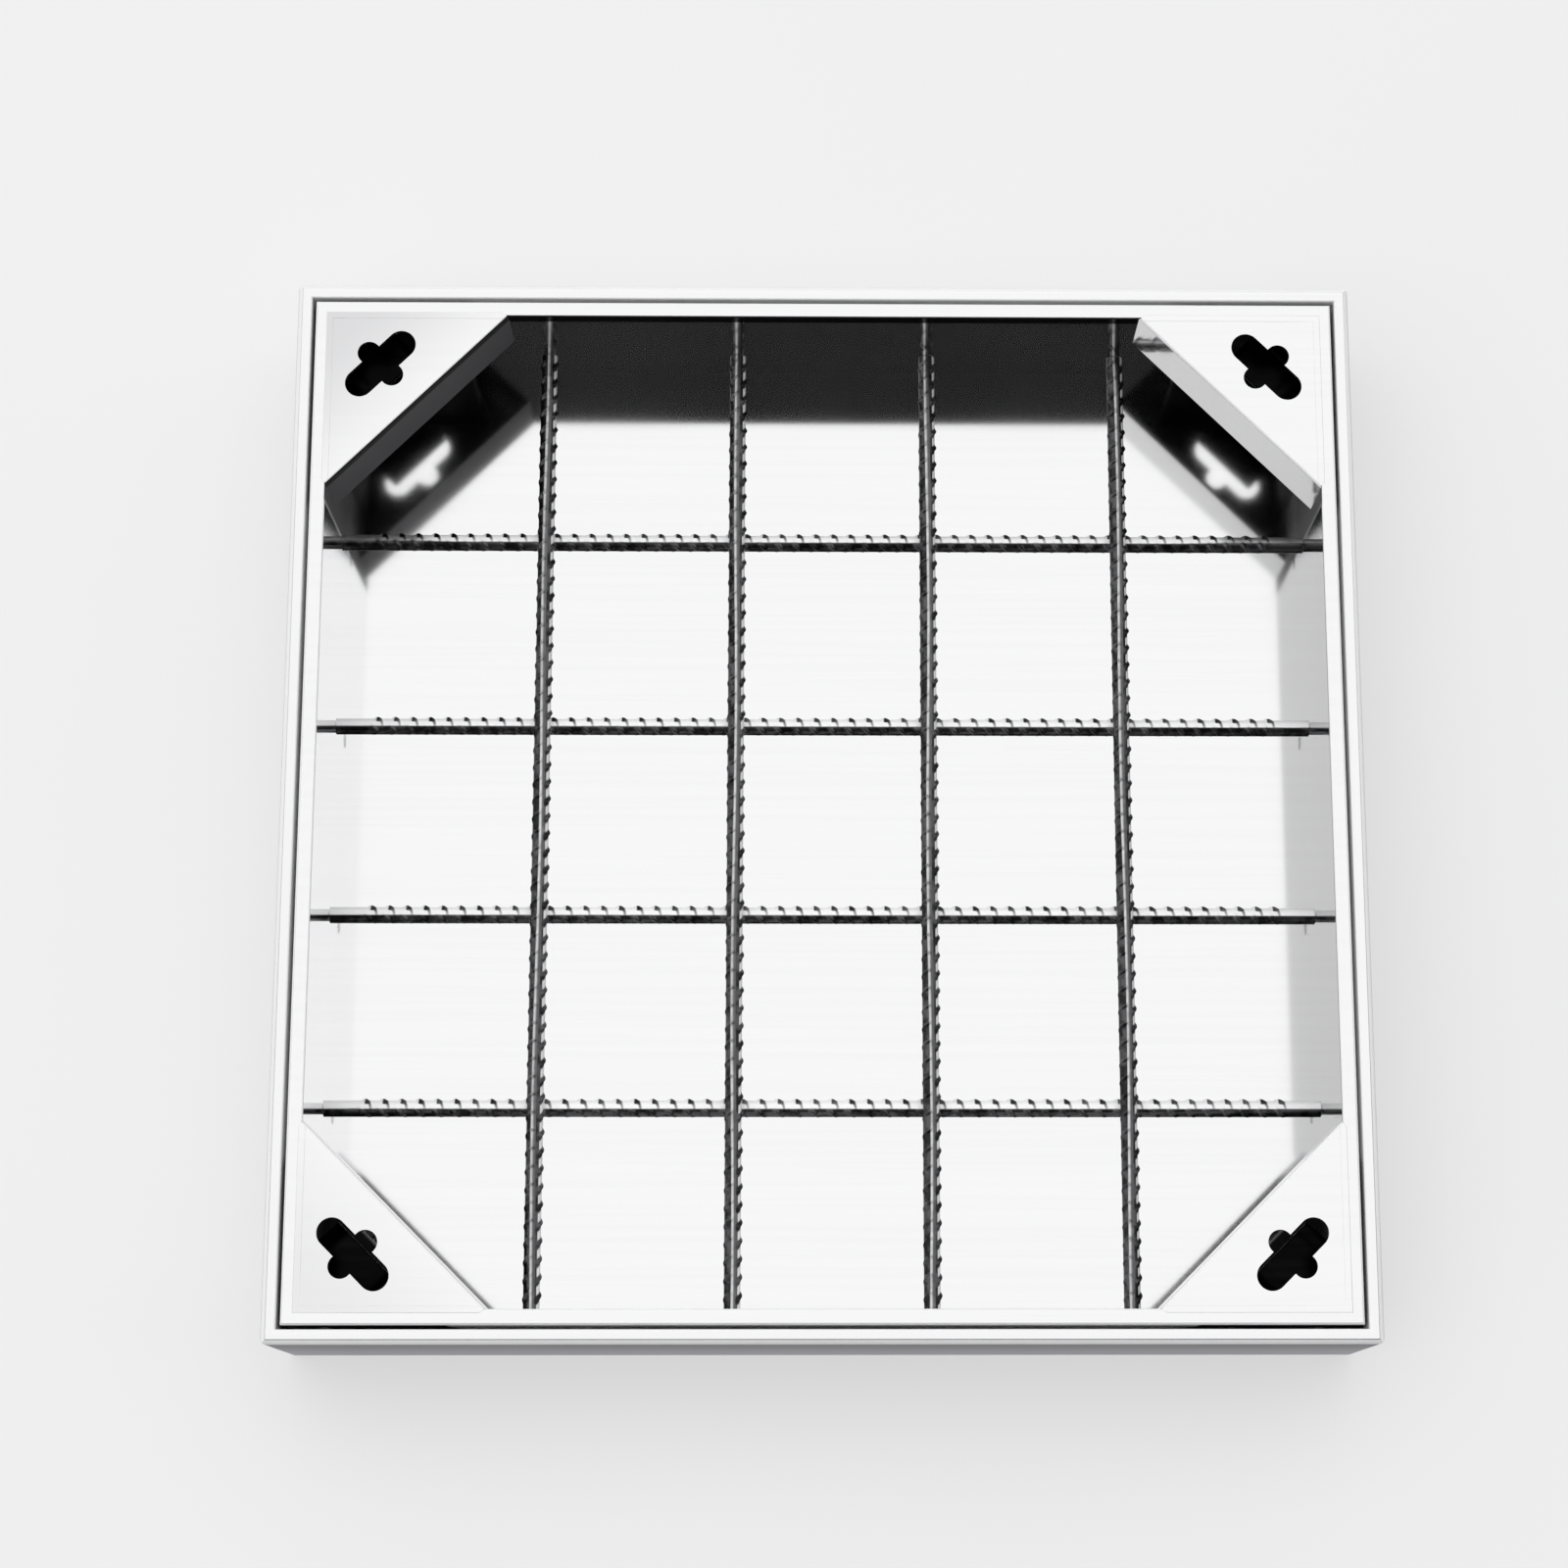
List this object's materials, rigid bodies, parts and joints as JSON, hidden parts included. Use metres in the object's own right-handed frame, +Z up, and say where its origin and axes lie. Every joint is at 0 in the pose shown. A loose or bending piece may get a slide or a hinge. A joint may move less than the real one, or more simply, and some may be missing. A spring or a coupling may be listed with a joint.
{
  "type": "septic tank cover",
  "caption": "Square recessed septic tank cover of folded stainless sheet: a loose tray with a grid of ribbed bars and keyholed corner plates, resting on a rubber seal in its frame.",
  "frame": {"origin": "middle of the frame's underside", "axes": "+Z up out of the ground, +Y to the back, away from the viewer of the picture, +X to the right"},
  "size_m": [0.6, 0.6, 0.1],
  "materials": {
    "frame_steel": "satin stainless",
    "tray_steel": "smooth bright stainless, mirror-like on the floor and walls",
    "plate_steel": "satin stainless",
    "bar_steel": "ribbed bar, dark drawn surface with bright worn tops",
    "seal_rubber": "matt black"
  },
  "bodies": {
    "root": {"frame_rail_front": "frame_steel", "seal_strip_front": "seal_rubber", "frame_rail_right": "frame_steel", "seal_strip_right": "seal_rubber", "frame_rail_back": "frame_steel", "seal_strip_back": "seal_rubber", "frame_rail_left": "frame_steel", "seal_strip_left": "seal_rubber", "tray_pan": "tray_steel", "corner_plate_front_left": "plate_steel", "corner_plate_front_right": "plate_steel", "corner_plate_back_right": "plate_steel", "corner_plate_back_left": "plate_steel", "long_bar_1": "bar_steel", "cross_bar_1": "bar_steel", "long_bar_2": "bar_steel", "cross_bar_2": "bar_steel", "long_bar_3": "bar_steel", "cross_bar_3": "bar_steel", "long_bar_4": "bar_steel", "cross_bar_4": "bar_steel"}
  },
  "joints": []
}
